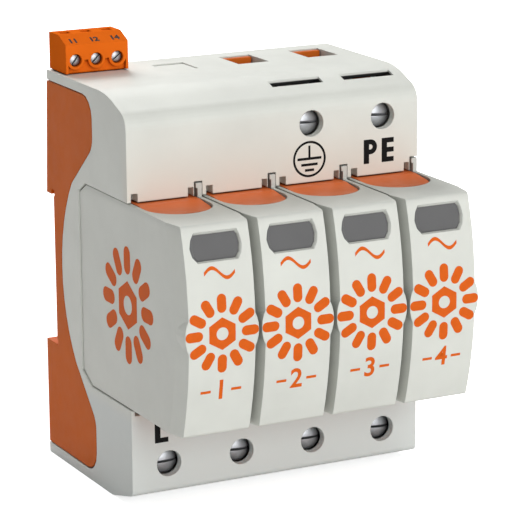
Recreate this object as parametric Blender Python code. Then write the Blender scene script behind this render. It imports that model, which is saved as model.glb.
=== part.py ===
"""DIN rail surge arrester: a four-pole base with four plug-in modules and a remote signalling plug.

Metres, +Z up. The origin is the centre of the rail seat. +Y points into the rail, so the front of the
device faces -Y, and X runs along the rail. It stands on the flat underside of its base.
"""

import math

import bmesh
import bpy

for leftover in list(bpy.data.objects):
    bpy.data.objects.remove(leftover)

# Overall sizes of the base
PITCH = 0.018
POLES = 4
TOP = 0.0464
BOTTOM = -0.0454
FRONT = -0.041
BACK_TOP = 0.0022
BACK_UPPER = 0.004
BACK_LOWER = 0.0062
WALL = 0.002
TOP_WALL = 0.0022
BOTTOM_WALL = 0.0024
SIDE = 0.0014
PARTITION = 0.0012
GAP = 0.0003

# Rail seat, for a 35 mm top-hat rail
RAIL_SLOT = 0.0354
RAIL_FLANGE_ROOM = 0.0013
RAIL_HOOK = 0.0011
SEAT_WALL = 0.002
SEAT_RELIEF = 0.0004

# Shoulder between the top and the front of the base
SHOULDER_DEPTH = 0.0105
SHOULDER_DROP = 0.004
SHOULDER_TOP_ROUND = 0.022
SHOULDER_FRONT_ROUND = 0.0042

# Belly, where the front of the base draws in to its underside
BELLY_DEPTH = 0.0110
BELLY_RISE = 0.0028
BELLY_ROUND = 0.01
BELLY_FRONT_ROUND = 0.0015

# Orange rear foot, seen from the side
FOOT_TOP_REACH = -0.0226
FOOT_BOTTOM_REACH = -0.0212
FOOT_ROUND = 0.005
FOOT_SHOULDER_Z = 0.0328
FOOT_HIP_Z = -0.0305
FOOT_NECK_Z = 0.0226
FOOT_LOW_NECK_Z = -0.0193
FOOT_NECK_Y = -0.0105
FOOT_WAIST_Y = -0.0037

# Bay that the modules stand in
BAY_TOP = 0.0239
BAY_BOTTOM = -0.0229
BAY_BACK = -0.0143

# Modules
MODULE_WALL = 0.0017
MODULE_FRONT = -0.0651
MODULE_CROWN = -0.0687
MODULE_EDGE_ROUND = 0.0008
MODULE_SKIN = 0.0013
TAPER_LENGTH = 0.005
TAPER_INSET = 0.0009
BOSS_RADIUS = 0.00865
BOSS_Z = 0.0004
BOSS_BACK = -0.061
BACK_CHAMFER_TOP_Y = 0.0038
BACK_CHAMFER_TOP_Z = 0.0023
BACK_CHAMFER_LOW_Y = 0.005
BACK_CHAMFER_LOW_Z = 0.0028

# Grip pads, the orange tongues in the top and the underside of a module
PAD_HALF_WIDTH = 0.0074
PAD_FRONT = -0.0546
PAD_THICK = 0.002
DISH_RADIUS = 0.03
DISH_DEPTH = 0.0005
DISH_Y = -0.0490
CARRIER_PLATE = 0.0022

# Guide tab on a module's right shoulder and the notches beside it
TAB_X = 0.00802
TAB_WIDTH = 0.0014
TAB_HEIGHT = 0.0031
TAB_PROUD = 0.0004
TAB_LENGTH = 0.0132
NOTCH_LEFT_X = -0.00725
NOTCH_LEFT_WIDTH = 0.0016
NOTCH_RIGHT_X = 0.0062
NOTCH_RIGHT_WIDTH = 0.0013
NOTCH_HEIGHT = 0.0019
NOTCH_DEPTH = 0.003
LOW_NOTCH_HEIGHT = 0.0012

# Status window and flag
WINDOW_TOP = 0.0220
WINDOW_BOTTOM = 0.0158
WINDOW_TOP_HALF = 0.0050
WINDOW_MID_HALF = 0.0058
WINDOW_BOTTOM_HALF = 0.0047
PANE_RECESS = 0.0009
PANE_THICK = 0.0012
FLAG_THICK = 0.001
FLAG_HALF_WIDTH = 0.0062
FLAG_HEIGHT = 0.0066
FLAG_CHAMBER_ROOF = 0.0011

# Protective block inside a module
BLOCK_HALF_WIDTH = 0.0048
BLOCK_BACK_ROOM = 0.0066
BLOCK_ROUND = 0.002

# Plug-in blades and the clips that hold them
BLADE_Z = 0.0125
BLADE_THICK = 0.0012
BLADE_HEIGHT = 0.007
BLADE_TIP = -0.0059
BLADE_BEVEL = 0.0016
BLADE_FLANGE = 0.0024
TINE_THICK = 0.001
TINE_REACH = -0.0117
STRIP_THICK = 0.002
STRIP_WIDTH = 0.009

# Screw terminals
SCREW_UPPER_Z = 0.03705
SCREW_LOWER_Z = -0.0362
SCREW_HEAD_RADIUS = 0.0027
SCREW_HEAD_LENGTH = 0.0022
SCREW_DOME = 0.0007
SCREW_SHANK_RADIUS = 0.0023
SCREW_RECESS = 0.0024
SCREW_SLOT = 0.0006
SCREW_SLOT_DEPTH = 0.0013
CLAMP_BAR_FRONT = -0.0153
CAGE_HALF_HEIGHT = 0.0038
CAGE_WALL = 0.0016
CAGE_NUT = 0.003
CAGE_BACK = -0.0017

# Wire entries, and the slots behind the shoulder
ENTRY_WIDTH = 0.0078
ENTRY_FRONT = -0.013
ENTRY_BACK = -0.0044
ENTRY_TONGUE = 0.0015
ENTRY_SHELF = 0.0011
BLANK_DEPTH = 0.0003
PORT_WIDTH = 0.0127
PORT_BACK = -0.0322
PORT_FRONT = -0.0347
PORT_LIP = 0.0005
PORT_UNDERCUT = 0.0016

# Remote signalling plug
PLUG_PITCH = 0.00508
PLUG_WAYS = 3
PLUG_FROM_SIDE = 0.0008
PLUG_FRONT = -0.0073
PLUG_BACK = 0.0022
PLUG_FACE_HEIGHT = 0.0065
PLUG_HEIGHT = 0.0083
PLUG_CHAMFER = 0.0041
PLUG_CHEEK = 0.0006
PLUG_SCREW_SHIFT = -0.0001
PLUG_SCREW_Z = 0.0032
PLUG_SCREW_RADIUS = 0.0013
PLUG_SCREW_HEAD = 0.0012
PLUG_SHANK_RADIUS = 0.0008
PLUG_SHANK_TIP = -0.0019
PLUG_BOSS_RADIUS = 0.0021
PLUG_UNDERCUT = 0.0009
PLUG_WIRE_WIDTH = 0.0024
TONGUE_FRONT = -0.0056
TONGUE_BACK = 0.0002
TONGUE_DEPTH = 0.0068
TONGUE_LEFT_INSET = 0.0011
TONGUE_RIGHT_INSET = 0.0003
CLAMP_FRONT = -0.004
CLAMP_BACK = 0.001
CLAMP_LEFT = 0.00165
CLAMP_RIGHT = 0.00185
CLAMP_HEIGHT = 0.0028
CLAMP_WALL = 0.0007
TAIL_BELOW_TOP = 0.0045
TAIL_THICK = 0.0004
CLAMP_TRAVEL = 0.0008
PIN_SIZE = 0.0008
PIN_SHIFT = 0.00045
PIN_BELOW_TOP = 0.0015
HEADER_HEIGHT = 0.0044

# Signalling switch, its board and the rocker that works it
BOARD_FRONT = -0.0070
BOARD_THICK = 0.0012
BOARD_LEG_HALF = 0.0061
SWITCH_HALF_LENGTH = 0.0058
SWITCH_DEPTH = 0.0042
SWITCH_BOTTOM = 0.0033
SWITCH_HEIGHT = 0.0058
PLUNGER = 0.0007
ROCKER_Y = -0.0086
ROCKER_Z = -0.0035
ROCKER_RADIUS = 0.0014
JOURNAL_RADIUS = 0.0008
JOURNAL_REACH = 0.0007
FINGER_HALF = 0.0015
FINGER_TOP = 0.002
FINGER_ROOM = 0.0008

# Rail latch and its spring
LATCH_HALF = 0.012
LATCH_FRONT = 0.0015
LATCH_THICK = 0.0022
LATCH_TOOTH = 0.0012
LATCH_WINDOW_HALF = 0.0026
LATCH_WINDOW_TOP = -0.0242
LATCH_RIB = 0.0015
SPRING_LENGTH = 0.008
SPRING_RADIUS = 0.0009
SPRING_WIRE = 0.00022
SPRING_TURNS = 5

# Where the sizes above meet
WIDTH = PITCH * POLES
HALF = WIDTH / 2
RAIL_HALF = RAIL_SLOT / 2
CEILING = TOP - TOP_WALL
CELLAR = BOTTOM + BOTTOM_WALL
INNER = HALF - SIDE
MODULE_HALF = PITCH / 2 - GAP
MODULE_TOP = BAY_TOP - GAP
MODULE_BOTTOM = BAY_BOTTOM + GAP
MODULE_BACK = BAY_BACK - GAP
CAVITY_HALF = MODULE_HALF - MODULE_WALL
SEAT_INNER = -SEAT_WALL
UPPER_INNER = BACK_TOP - WALL
LOWER_INNER = BACK_LOWER - WALL
STRIP_BACK = SEAT_INNER - GAP
STRIP_FRONT = STRIP_BACK - STRIP_THICK
CAGE_HALF = STRIP_WIDTH / 2 + GAP + CAGE_WALL
CAGE_FRONT = CLAMP_BAR_FRONT - CAGE_WALL - GAP - CAGE_NUT
PLUG_WIDTH = PLUG_WAYS * PLUG_PITCH
PLUG_X = -HALF + PLUG_FROM_SIDE + PLUG_WIDTH / 2
PLUG_BASE = TOP + GAP
CLAMP_TAIL = TOP - TAIL_BELOW_TOP
PIN_TOP = TOP - PIN_BELOW_TOP
FAR = 0.02
FOOT_TOP = CEILING - GAP
FOOT_BOTTOM = CELLAR + GAP


def material(name, colour, roughness, metallic=0.0):
    made = bpy.data.materials.new(name)
    made.use_nodes = True
    shader = made.node_tree.nodes["Principled BSDF"]
    shader.inputs["Base Color"].default_value = (*colour, 1.0)
    shader.inputs["Roughness"].default_value = roughness
    shader.inputs["Metallic"].default_value = metallic
    return made


def arc_points(centre, radius, start, end, steps):
    turns = [start + (end - start) * step / steps for step in range(steps + 1)]
    return [(centre[0] + radius * math.cos(t), centre[1] + radius * math.sin(t)) for t in turns]


def rounded(corners, steps=4):
    """Points of an outline. A corner is (u, v) or (u, v, radius), and one with a radius becomes an arc."""
    points = []
    for index, corner in enumerate(corners):
        if len(corner) == 2:
            points.append(corner)
            continue
        before = corners[index - 1]
        after = corners[(index + 1) % len(corners)]
        u, v, radius = corner
        into = math.atan2(before[1] - v, before[0] - u)
        out = math.atan2(after[1] - v, after[0] - u)
        turn = (out - into + math.pi) % (2 * math.pi) - math.pi
        reach = radius / math.tan(abs(turn) / 2)
        shortest = min(math.dist(before[:2], (u, v)), math.dist(after[:2], (u, v)))
        if reach > 0.49 * shortest:
            reach = 0.49 * shortest
            radius = reach * math.tan(abs(turn) / 2)
        start = (u + reach * math.cos(into), v + reach * math.sin(into))
        side = 1 if turn > 0 else -1
        centre_angle = into + side * math.pi / 2
        centre = (start[0] + radius * math.cos(centre_angle), start[1] + radius * math.sin(centre_angle))
        first = math.atan2(start[1] - centre[1], start[0] - centre[0])
        sweep = -side * (math.pi - abs(turn))
        points += arc_points(centre, radius, first, first + sweep, steps)
    return points


def prism(name, outline, low, high, axis, finish=None):
    """A straight solid: an outline in the plane across the axis, run from low to high along it."""
    order = {"X": lambda u, v, w: (w, u, v), "Y": lambda u, v, w: (u, w, v), "Z": lambda u, v, w: (u, v, w)}
    mesh = bpy.data.meshes.new(name)
    shape = bmesh.new()
    face = shape.faces.new([shape.verts.new(order[axis](u, v, low)) for u, v in outline])
    grown = bmesh.ops.extrude_face_region(shape, geom=[face])
    moved = [item for item in grown["geom"] if isinstance(item, bmesh.types.BMVert)]
    step = order[axis](0, 0, high - low)
    bmesh.ops.translate(shape, verts=moved, vec=step)
    bmesh.ops.recalc_face_normals(shape, faces=shape.faces)
    shape.to_mesh(mesh)
    shape.free()
    made = bpy.data.objects.new(name, mesh)
    bpy.context.scene.collection.objects.link(made)
    if finish:
        mesh.materials.append(finish)
    return made


def box(name, xs, ys, zs, finish=None):
    outline = [(xs[0], ys[0]), (xs[1], ys[0]), (xs[1], ys[1]), (xs[0], ys[1])]
    return prism(name, outline, zs[0], zs[1], "Z", finish)


def rod(name, centre, radius, low, high, axis, steps=20, finish=None):
    outline = arc_points(centre, radius, 0, 2 * math.pi * (steps - 1) / steps, steps - 1)
    return prism(name, outline, low, high, axis, finish)


def combine(target, tool, operation):
    """Adds a Boolean by a helper that lives in the target's own frame."""
    tool.location = target.location
    tool.hide_render = True
    tool.display_type = "WIRE"
    change = target.modifiers.new(tool.name, "BOOLEAN")
    change.operation = operation
    change.solver = "EXACT"
    change.object = tool


def cut(target, *tools):
    for tool in tools:
        combine(target, tool, "DIFFERENCE")


def join(target, *tools):
    for tool in tools:
        combine(target, tool, "UNION")


def place(target, x=0.0, y=0.0, z=0.0):
    target.location = (x, y, z)


def pole_x(index):
    return (index - (POLES - 1) / 2) * PITCH


def turned(name, profile, steps, finish=None):
    """A solid turned about Y, from (y, radius) pairs that run from one end to the other."""
    mesh = bpy.data.meshes.new(name)
    shape = bmesh.new()
    rings = []
    for y, radius in profile:
        ring = [
            shape.verts.new((radius * math.cos(t), y, radius * math.sin(t)))
            for t in [2 * math.pi * step / steps for step in range(steps)]
        ]
        rings.append(ring)
    for near, far in zip(rings, rings[1:]):
        for step in range(steps):
            after = (step + 1) % steps
            shape.faces.new((near[step], near[after], far[after], far[step]))
    shape.faces.new(rings[0])
    shape.faces.new(rings[-1])
    bmesh.ops.recalc_face_normals(shape, faces=shape.faces)
    shape.to_mesh(mesh)
    shape.free()
    made = bpy.data.objects.new(name, mesh)
    bpy.context.scene.collection.objects.link(made)
    if finish:
        mesh.materials.append(finish)
    return made


# Outlines seen from the side, as (y, z)


def base_outline():
    return rounded(
        [
            (BACK_UPPER, RAIL_HALF),
            (BACK_TOP, TOP),
            (FRONT + SHOULDER_DEPTH, TOP, SHOULDER_TOP_ROUND),
            (FRONT, TOP - SHOULDER_DROP, SHOULDER_FRONT_ROUND),
            (FRONT, BAY_TOP),
            (BAY_BACK - BACK_CHAMFER_TOP_Y, BAY_TOP),
            (BAY_BACK, BAY_TOP - BACK_CHAMFER_TOP_Z),
            (BAY_BACK, BAY_BOTTOM + BACK_CHAMFER_LOW_Z),
            (BAY_BACK - BACK_CHAMFER_LOW_Y, BAY_BOTTOM),
            (FRONT, BAY_BOTTOM),
            (FRONT, BOTTOM + BELLY_RISE, BELLY_FRONT_ROUND),
            (FRONT + BELLY_DEPTH, BOTTOM, BELLY_ROUND),
            (BACK_LOWER, BOTTOM),
            (BACK_LOWER, -RAIL_HALF),
            (0.0, -RAIL_HALF),
            (0.0, RAIL_HALF),
        ],
        steps=6,
    )


def shoulder_height(y):
    """How high the base's outside is at a place between its front and its back."""
    outline = base_outline()
    upper = [point for point in outline if point[1] > BAY_TOP + WALL]
    for (back, high), (front, low) in zip(upper, upper[1:]):
        if front <= y <= back:
            return low + (high - low) * (y - front) / (back - front)
    return TOP


def foot_waist(grow):
    """Points of the hollow curve between the two necks."""
    chord = (FOOT_NECK_Z - FOOT_LOW_NECK_Z) / 2
    depth = FOOT_WAIST_Y - FOOT_NECK_Y
    radius = (chord * chord + depth * depth) / (2 * depth)
    half = math.asin(chord / radius)
    centre = (FOOT_WAIST_Y - radius - grow, (FOOT_NECK_Z + FOOT_LOW_NECK_Z) / 2)
    return arc_points(centre, radius, half, -half, 12)


def foot_front(grow):
    """The curved front edge of the rear foot, from top to bottom, or with grow the edge of its space."""
    return [
        (FOOT_TOP_REACH - grow, FOOT_TOP + grow, FOOT_ROUND),
        (FOOT_TOP_REACH - grow, FOOT_SHOULDER_Z, FOOT_ROUND),
        *foot_waist(grow),
        (FOOT_BOTTOM_REACH - grow, FOOT_HIP_Z, FOOT_ROUND),
        (FOOT_BOTTOM_REACH - grow, FOOT_BOTTOM - grow, FOOT_ROUND),
    ]


def foot_outline():
    lean = (BACK_UPPER - BACK_TOP) * (FOOT_TOP - RAIL_HALF) / (TOP - RAIL_HALF)
    back = [
        (BACK_LOWER, FOOT_BOTTOM),
        (BACK_LOWER, -RAIL_HALF),
        (0.0, -RAIL_HALF),
        (0.0, RAIL_HALF),
        (BACK_UPPER, RAIL_HALF),
        (BACK_UPPER - lean, FOOT_TOP),
    ]
    return rounded(back + foot_front(0.0))


def foot_space():
    """What the foot's cheeks need in the base, run out past the back."""
    return rounded([(FAR, FOOT_BOTTOM - GAP), (FAR, FOOT_TOP + GAP)] + foot_front(GAP))


def front_arc(low, high, skin, steps):
    """Points of a module's bowed front from low to high, skin below its outer face."""
    chord = (MODULE_TOP - MODULE_BOTTOM) / 2
    middle = (MODULE_TOP + MODULE_BOTTOM) / 2
    bow = MODULE_FRONT - MODULE_CROWN
    radius = (chord * chord + bow * bow) / (2 * bow)
    centre = MODULE_CROWN + radius
    heights = [low + (high - low) * step / steps for step in range(steps + 1)]
    return [(centre - math.sqrt((radius - skin) ** 2 - (z - middle) ** 2), z) for z in heights]


def flag_front():
    """The flag slides just behind the window pane's upper edge."""
    depth = PANE_RECESS + PANE_THICK + GAP
    return front_arc(WINDOW_BOTTOM, WINDOW_TOP, depth, 1)[1][0]


def module_outline(skin=0.0):
    bow = front_arc(MODULE_BOTTOM, MODULE_TOP, skin, 12)
    low_y, low_z = bow[0]
    high_y, high_z = bow[-1]
    return rounded(
        [
            (MODULE_BACK, MODULE_TOP - BACK_CHAMFER_TOP_Z),
            (MODULE_BACK, MODULE_BOTTOM + BACK_CHAMFER_LOW_Z),
            (MODULE_BACK - BACK_CHAMFER_LOW_Y, MODULE_BOTTOM),
            (low_y, low_z, MODULE_EDGE_ROUND),
            *bow[1:-1],
            (high_y, high_z, MODULE_EDGE_ROUND),
            (MODULE_BACK - BACK_CHAMFER_TOP_Y, MODULE_TOP),
        ],
        steps=3,
    )


def module_cavity():
    """The hollow of a shell, open to the back, with the flag's chamber at its front."""
    high = MODULE_TOP - PAD_THICK - GAP
    low = MODULE_BOTTOM + PAD_THICK + GAP
    roof = MODULE_TOP - FLAG_CHAMBER_ROOF
    step = flag_front() + FLAG_THICK + GAP
    skin = front_arc(roof, low, MODULE_SKIN, 10)
    return [(FAR, low), (FAR, high), (step, high), (step, roof)] + skin


def pad_plan(grow=0.0):
    """A grip pad from above, as (x, y): a half circle in front of a straight tongue."""
    half = PAD_HALF_WIDTH + grow
    centre = PAD_FRONT + PAD_HALF_WIDTH
    return [(half, FAR)] + arc_points((0.0, centre), half, 0.0, -math.pi, 14) + [(-half, FAR)]


def window_outline(grow=0.0):
    """The status window from the front, as (x, z), with bowed sides."""
    middle = (WINDOW_TOP + WINDOW_BOTTOM) / 2
    right = [
        (WINDOW_BOTTOM_HALF + grow, WINDOW_BOTTOM - grow),
        (WINDOW_MID_HALF - 0.0003 + grow, middle - 0.0018),
        (WINDOW_MID_HALF + grow, middle),
        (WINDOW_MID_HALF - 0.0003 + grow, middle + 0.0018),
        (WINDOW_TOP_HALF + grow, WINDOW_TOP + grow),
    ]
    return right + [(-x, z) for x, z in reversed(right)]


# Materials

LIGHT_GREY = material("light_grey_shell", (0.78, 0.79, 0.75), 0.45)
ORANGE = material("orange_moulding", (0.75, 0.22, 0.05), 0.45)
PLUG_ORANGE = material("orange_plug", (0.80, 0.20, 0.02), 0.4)
DARK_GREY = material("grey_window", (0.18, 0.18, 0.18), 0.35)
FLAG_RED = material("red_flag", (0.55, 0.03, 0.02), 0.5)
STEEL = material("zinc_plated_steel", (0.62, 0.63, 0.66), 0.3, 1.0)
COPPER = material("tinned_copper", (0.70, 0.62, 0.52), 0.35, 1.0)
BLOCK_BLUE = material("coated_block", (0.05, 0.10, 0.30), 0.5)
BLACK = material("black_moulding", (0.03, 0.03, 0.03), 0.5)
BOARD_GREEN = material("circuit_board", (0.03, 0.20, 0.08), 0.5)


# Base: the grey housing and the orange foot behind it


def tongue_sides():
    """Left and right of the plug's tongue, and of the header under it."""
    left = PLUG_X - PLUG_WIDTH / 2 + TONGUE_LEFT_INSET
    return left, PLUG_X + PLUG_WIDTH / 2 - TONGUE_RIGHT_INSET


def pole_chambers():
    """Spaces between the partitions, as (first pole, last pole, upper or lower)."""
    upper = [(0, POLES // 2 - 1, True)] + [(pole, pole, True) for pole in range(POLES // 2, POLES)]
    return upper + [(pole, pole, False) for pole in range(POLES)]


def chamber(first, last, upper):
    left = pole_x(first) - PITCH / 2 + PARTITION / 2
    right = pole_x(last) + PITCH / 2 - PARTITION / 2
    left = max(left, -INNER)
    right = min(right, INNER)
    inside = FRONT + WALL
    if upper:
        outline = [
            (FAR, BAY_TOP + WALL),
            (FAR, CEILING),
            (FRONT + SHOULDER_DEPTH, CEILING),
            (inside, CEILING - SHOULDER_DROP),
            (inside, BAY_TOP + WALL),
        ]
    else:
        outline = [
            (FAR, CELLAR),
            (FAR, BAY_BOTTOM - WALL),
            (inside, BAY_BOTTOM - WALL),
            (inside, CELLAR + BELLY_RISE),
            (FRONT + BELLY_DEPTH, CELLAR),
        ]
    return prism("chamber_space", outline, left, right, "X")


def rear_space():
    """What the foot's back plate needs between the housing's side walls."""
    upper = UPPER_INNER - GAP
    middle = SEAT_INNER - GAP
    lower = LOWER_INNER - GAP
    step = RAIL_HALF + SEAT_WALL + GAP
    outline = [
        (FAR, CELLAR),
        (FAR, CEILING),
        (upper, CEILING),
        (upper, step),
        (middle, step),
        (middle, -step),
        (lower, -step),
        (lower, CELLAR),
    ]
    return prism("plate_space", outline, -INNER, INNER, "X")


def make_housing():
    housing = prism("base_housing", base_outline(), -HALF, HALF, "X", LIGHT_GREY)
    for side in (-1, 1):
        inner, outer = sorted((side * (INNER - GAP), side * (HALF + SIDE)))
        cut(housing, prism("cheek_space", foot_space(), inner, outer, "X"))
    cut(housing, rear_space())
    height = (BAY_BOTTOM - WALL - GAP, BAY_TOP + WALL + GAP)
    cut(housing, box("middle_space", (-INNER, INNER), (BAY_BACK + WALL, FAR), height))
    cut(housing, *[chamber(*place_of) for place_of in pole_chambers()])
    well = SCREW_HEAD_RADIUS + GAP
    for pole in range(POLES):
        x = pole_x(pole)
        cut(housing, rod("screw_well", (x, SCREW_LOWER_Z), well, FRONT - WALL, FRONT + 2 * WALL, "Y"))
        entry = (x - ENTRY_WIDTH / 2, x + ENTRY_WIDTH / 2)
        cut(housing, box("wire_entry", entry, (ENTRY_FRONT, ENTRY_BACK), (BOTTOM - WALL, CELLAR + WALL)))
        for z in (BLADE_Z, -BLADE_Z):
            slot = (x - BLADE_THICK / 2 - GAP, x + BLADE_THICK / 2 + GAP)
            height = (z - BLADE_HEIGHT / 2 - GAP, z + BLADE_HEIGHT / 2 + GAP)
            cut(housing, box("blade_slot", slot, (BAY_BACK - WALL, BAY_BACK + 2 * WALL), height))
        finger = (x - FINGER_HALF - GAP, x + FINGER_HALF + GAP)
        height = (ROCKER_Z + ROCKER_RADIUS, FINGER_TOP + FINGER_ROOM)
        cut(housing, box("finger_window", finger, (BAY_BACK - WALL, BAY_BACK + 2 * WALL), height))
        for notch_x, width in ((NOTCH_LEFT_X, NOTCH_LEFT_WIDTH), (NOTCH_RIGHT_X, NOTCH_RIGHT_WIDTH)):
            span = (x + notch_x - width / 2, x + notch_x + width / 2)
            depth = (FRONT - WALL, FRONT + NOTCH_DEPTH)
            cut(housing, box("notch", span, depth, (BAY_TOP - WALL, BAY_TOP + NOTCH_HEIGHT)))
            cut(housing, box("low_notch", span, depth, (BAY_BOTTOM - LOW_NOTCH_HEIGHT, BAY_BOTTOM + WALL)))
        tab = (x + TAB_X - TAB_WIDTH / 2 - GAP, x + TAB_X + TAB_WIDTH / 2 + GAP)
        run = (FRONT - WALL, FRONT - TAB_PROUD + TAB_LENGTH + GAP)
        cut(housing, box("tab_slot", tab, run, (BAY_TOP - WALL, MODULE_TOP + TAB_HEIGHT + GAP)))
        if pole < POLES // 2:
            continue
        cut(housing, rod("screw_well", (x, SCREW_UPPER_Z), well, FRONT - WALL, FRONT + 2 * WALL, "Y"))
        back = ENTRY_BACK + ENTRY_TONGUE + GAP
        cut(housing, box("wire_entry", entry, (ENTRY_FRONT, back), (CEILING - WALL, TOP + WALL)))
        port = (x - PORT_WIDTH / 2, x + PORT_WIDTH / 2)
        low = CEILING - SHOULDER_DROP
        cut(housing, box("port_slot", port, (PORT_FRONT, PORT_BACK), (low, TOP + WALL)))
        behind = PORT_BACK + PORT_UNDERCUT
        pocket = [
            (PORT_FRONT, low),
            (behind, low),
            (behind, shoulder_height(behind) - PORT_LIP),
            (PORT_FRONT, shoulder_height(PORT_FRONT) - PORT_LIP),
        ]
        cut(housing, prism("port_pocket", pocket, port[0], port[1], "X"))
    blank_x = pole_x(POLES // 2 - 1)
    blank = (blank_x - ENTRY_WIDTH / 2, blank_x + ENTRY_WIDTH / 2)
    cut(housing, box("blank_entry", blank, (ENTRY_FRONT, ENTRY_BACK), (TOP - BLANK_DEPTH, TOP + WALL)))
    left, right = tongue_sides()
    run = (TONGUE_FRONT - GAP, TONGUE_BACK + GAP)
    cut(housing, box("plug_opening", (left - GAP, right + GAP), run, (CEILING - WALL, TOP + WALL)))
    for side in (-1, 1):
        hole = (side * (INNER - WALL), side * (INNER + JOURNAL_REACH + GAP))
        radius = JOURNAL_RADIUS + GAP / 2
        cut(housing, rod("journal_hole", (ROCKER_Y, ROCKER_Z), radius, min(hole), max(hole), "X", 12))
    latch = (-LATCH_HALF - LATCH_RIB - 2 * GAP, LATCH_HALF + LATCH_RIB + 2 * GAP)
    cut(housing, box("latch_room", latch, (LATCH_FRONT - GAP, FAR), (CELLAR, -RAIL_HALF)))
    mouth = (-LATCH_HALF - GAP, LATCH_HALF + GAP)
    run = (LATCH_FRONT - GAP, LATCH_FRONT + LATCH_THICK + GAP)
    cut(housing, box("latch_mouth", mouth, run, (BOTTOM - WALL, CELLAR + WALL)))
    return housing


def spring_post():
    """Bottom and top of the foot's post under the latch spring."""
    top = LATCH_WINDOW_TOP - SPRING_LENGTH - 2 * GAP
    return top - 2 * (SPRING_RADIUS + SPRING_WIRE), top


def make_foot():
    foot = prism("rear_foot", foot_outline(), -HALF, HALF, "X", ORANGE)
    step = RAIL_HALF + SEAT_WALL
    hollow = [
        (-FAR - FAR, FOOT_TOP + WALL),
        (UPPER_INNER, FOOT_TOP + WALL),
        (UPPER_INNER, step),
        (SEAT_INNER, step),
        (SEAT_INNER, -step),
        (LOWER_INNER, -step),
        (LOWER_INNER, FOOT_BOTTOM - WALL),
        (-FAR - FAR, FOOT_BOTTOM - WALL),
    ]
    cut(foot, prism("foot_hollow", hollow, -INNER, INNER, "X"))
    across = (-HALF - WALL, HALF + WALL)
    hook = (RAIL_HALF - GAP, RAIL_HALF + RAIL_HOOK)
    cut(foot, box("flange_groove", across, (-SEAT_RELIEF, RAIL_FLANGE_ROOM), hook))
    tooth = (-RAIL_HALF - GAP, -RAIL_HALF + LATCH_TOOTH)
    cut(foot, box("tooth_groove", across, (-SEAT_RELIEF, GAP), tooth))
    for pole in range(POLES // 2, POLES):
        x = pole_x(pole)
        half = ENTRY_WIDTH / 2 - GAP
        shelf = (FOOT_TOP - ENTRY_SHELF, FOOT_TOP)
        join(foot, box("entry_shelf", (x - half, x + half), (ENTRY_BACK, UPPER_INNER + GAP), shelf))
        tongue = (shelf[0], TOP - GAP)
        join(foot, box("entry_wall", (x - half, x + half), (ENTRY_BACK, ENTRY_BACK + ENTRY_TONGUE), tongue))
    slot = (-LATCH_HALF - GAP, LATCH_HALF + GAP)
    run = (LATCH_FRONT - GAP, LATCH_FRONT + LATCH_THICK + GAP)
    cut(foot, box("latch_slot", slot, run, (-step - WALL, -RAIL_HALF + WALL)))
    for side in (-1, 1):
        rib = sorted((side * (LATCH_HALF + GAP), side * (LATCH_HALF + GAP + LATCH_RIB)))
        join(foot, box("latch_rib", rib, (LATCH_FRONT, LOWER_INNER + GAP), (FOOT_BOTTOM + WALL, -step - GAP)))
    half = SPRING_RADIUS + SPRING_WIRE
    join(foot, box("spring_post", (-half, half), (LATCH_FRONT + GAP, LOWER_INNER + GAP), spring_post()))
    return foot


def make_latch():
    low = BOTTOM + GAP
    high = -RAIL_HALF - GAP
    run = (LATCH_FRONT, LATCH_FRONT + LATCH_THICK)
    latch = box("rail_latch", (-LATCH_HALF, LATCH_HALF), run, (low, high), STEEL)
    tooth = [
        (LATCH_FRONT, high - WALL),
        (LATCH_FRONT, high + LATCH_TOOTH),
        (LATCH_FRONT + LATCH_THICK / 2, high + LATCH_TOOTH),
        (LATCH_FRONT + LATCH_THICK, high),
        (LATCH_FRONT + LATCH_THICK, high - WALL),
    ]
    join(latch, prism("latch_tooth", tooth, -LATCH_HALF, LATCH_HALF, "X"))
    bottom = spring_post()[0] - GAP
    window = (-LATCH_WINDOW_HALF, LATCH_WINDOW_HALF)
    through = (LATCH_FRONT - WALL, LATCH_FRONT + LATCH_THICK + WALL)
    cut(latch, box("latch_window", window, through, (bottom, LATCH_WINDOW_TOP)))
    return latch


def make_spring():
    """A close coil along Z, with its lower end on the foot's post."""
    low = SPRING_WIRE
    high = SPRING_LENGTH - SPRING_WIRE
    steps = 12 * SPRING_TURNS
    mesh = bpy.data.meshes.new("latch_spring")
    shape = bmesh.new()
    rings = []
    for step in range(steps + 1):
        turn = 2 * math.pi * SPRING_TURNS * step / steps
        z = low + (high - low) * step / steps
        ring = []
        for corner in range(6):
            around = 2 * math.pi * corner / 6
            radius = SPRING_RADIUS + SPRING_WIRE * math.cos(around)
            rise = SPRING_WIRE * math.sin(around)
            ring.append(shape.verts.new((radius * math.cos(turn), radius * math.sin(turn), z + rise)))
        rings.append(ring)
    for near, far in zip(rings, rings[1:]):
        for corner in range(6):
            after = (corner + 1) % 6
            shape.faces.new((near[corner], near[after], far[after], far[corner]))
    shape.faces.new(rings[0])
    shape.faces.new(rings[-1])
    bmesh.ops.recalc_face_normals(shape, faces=shape.faces)
    shape.to_mesh(mesh)
    shape.free()
    mesh.materials.append(STEEL)
    spring = bpy.data.objects.new("latch_spring", mesh)
    bpy.context.scene.collection.objects.link(spring)
    place(spring, 0.0, LATCH_FRONT + LATCH_THICK / 2, spring_post()[1] + GAP)
    return spring


# Contacts and terminals


def bake(target):
    """Turns a piece with its Booleans into a plain mesh and clears the helpers away."""
    graph = bpy.context.evaluated_depsgraph_get()
    mesh = bpy.data.meshes.new_from_object(target.evaluated_get(graph))
    helpers = [change.object for change in target.modifiers]
    target.modifiers.clear()
    target.data = mesh
    mesh.name = target.name
    for helper in helpers:
        bpy.data.objects.remove(helper)
    return target


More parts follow.
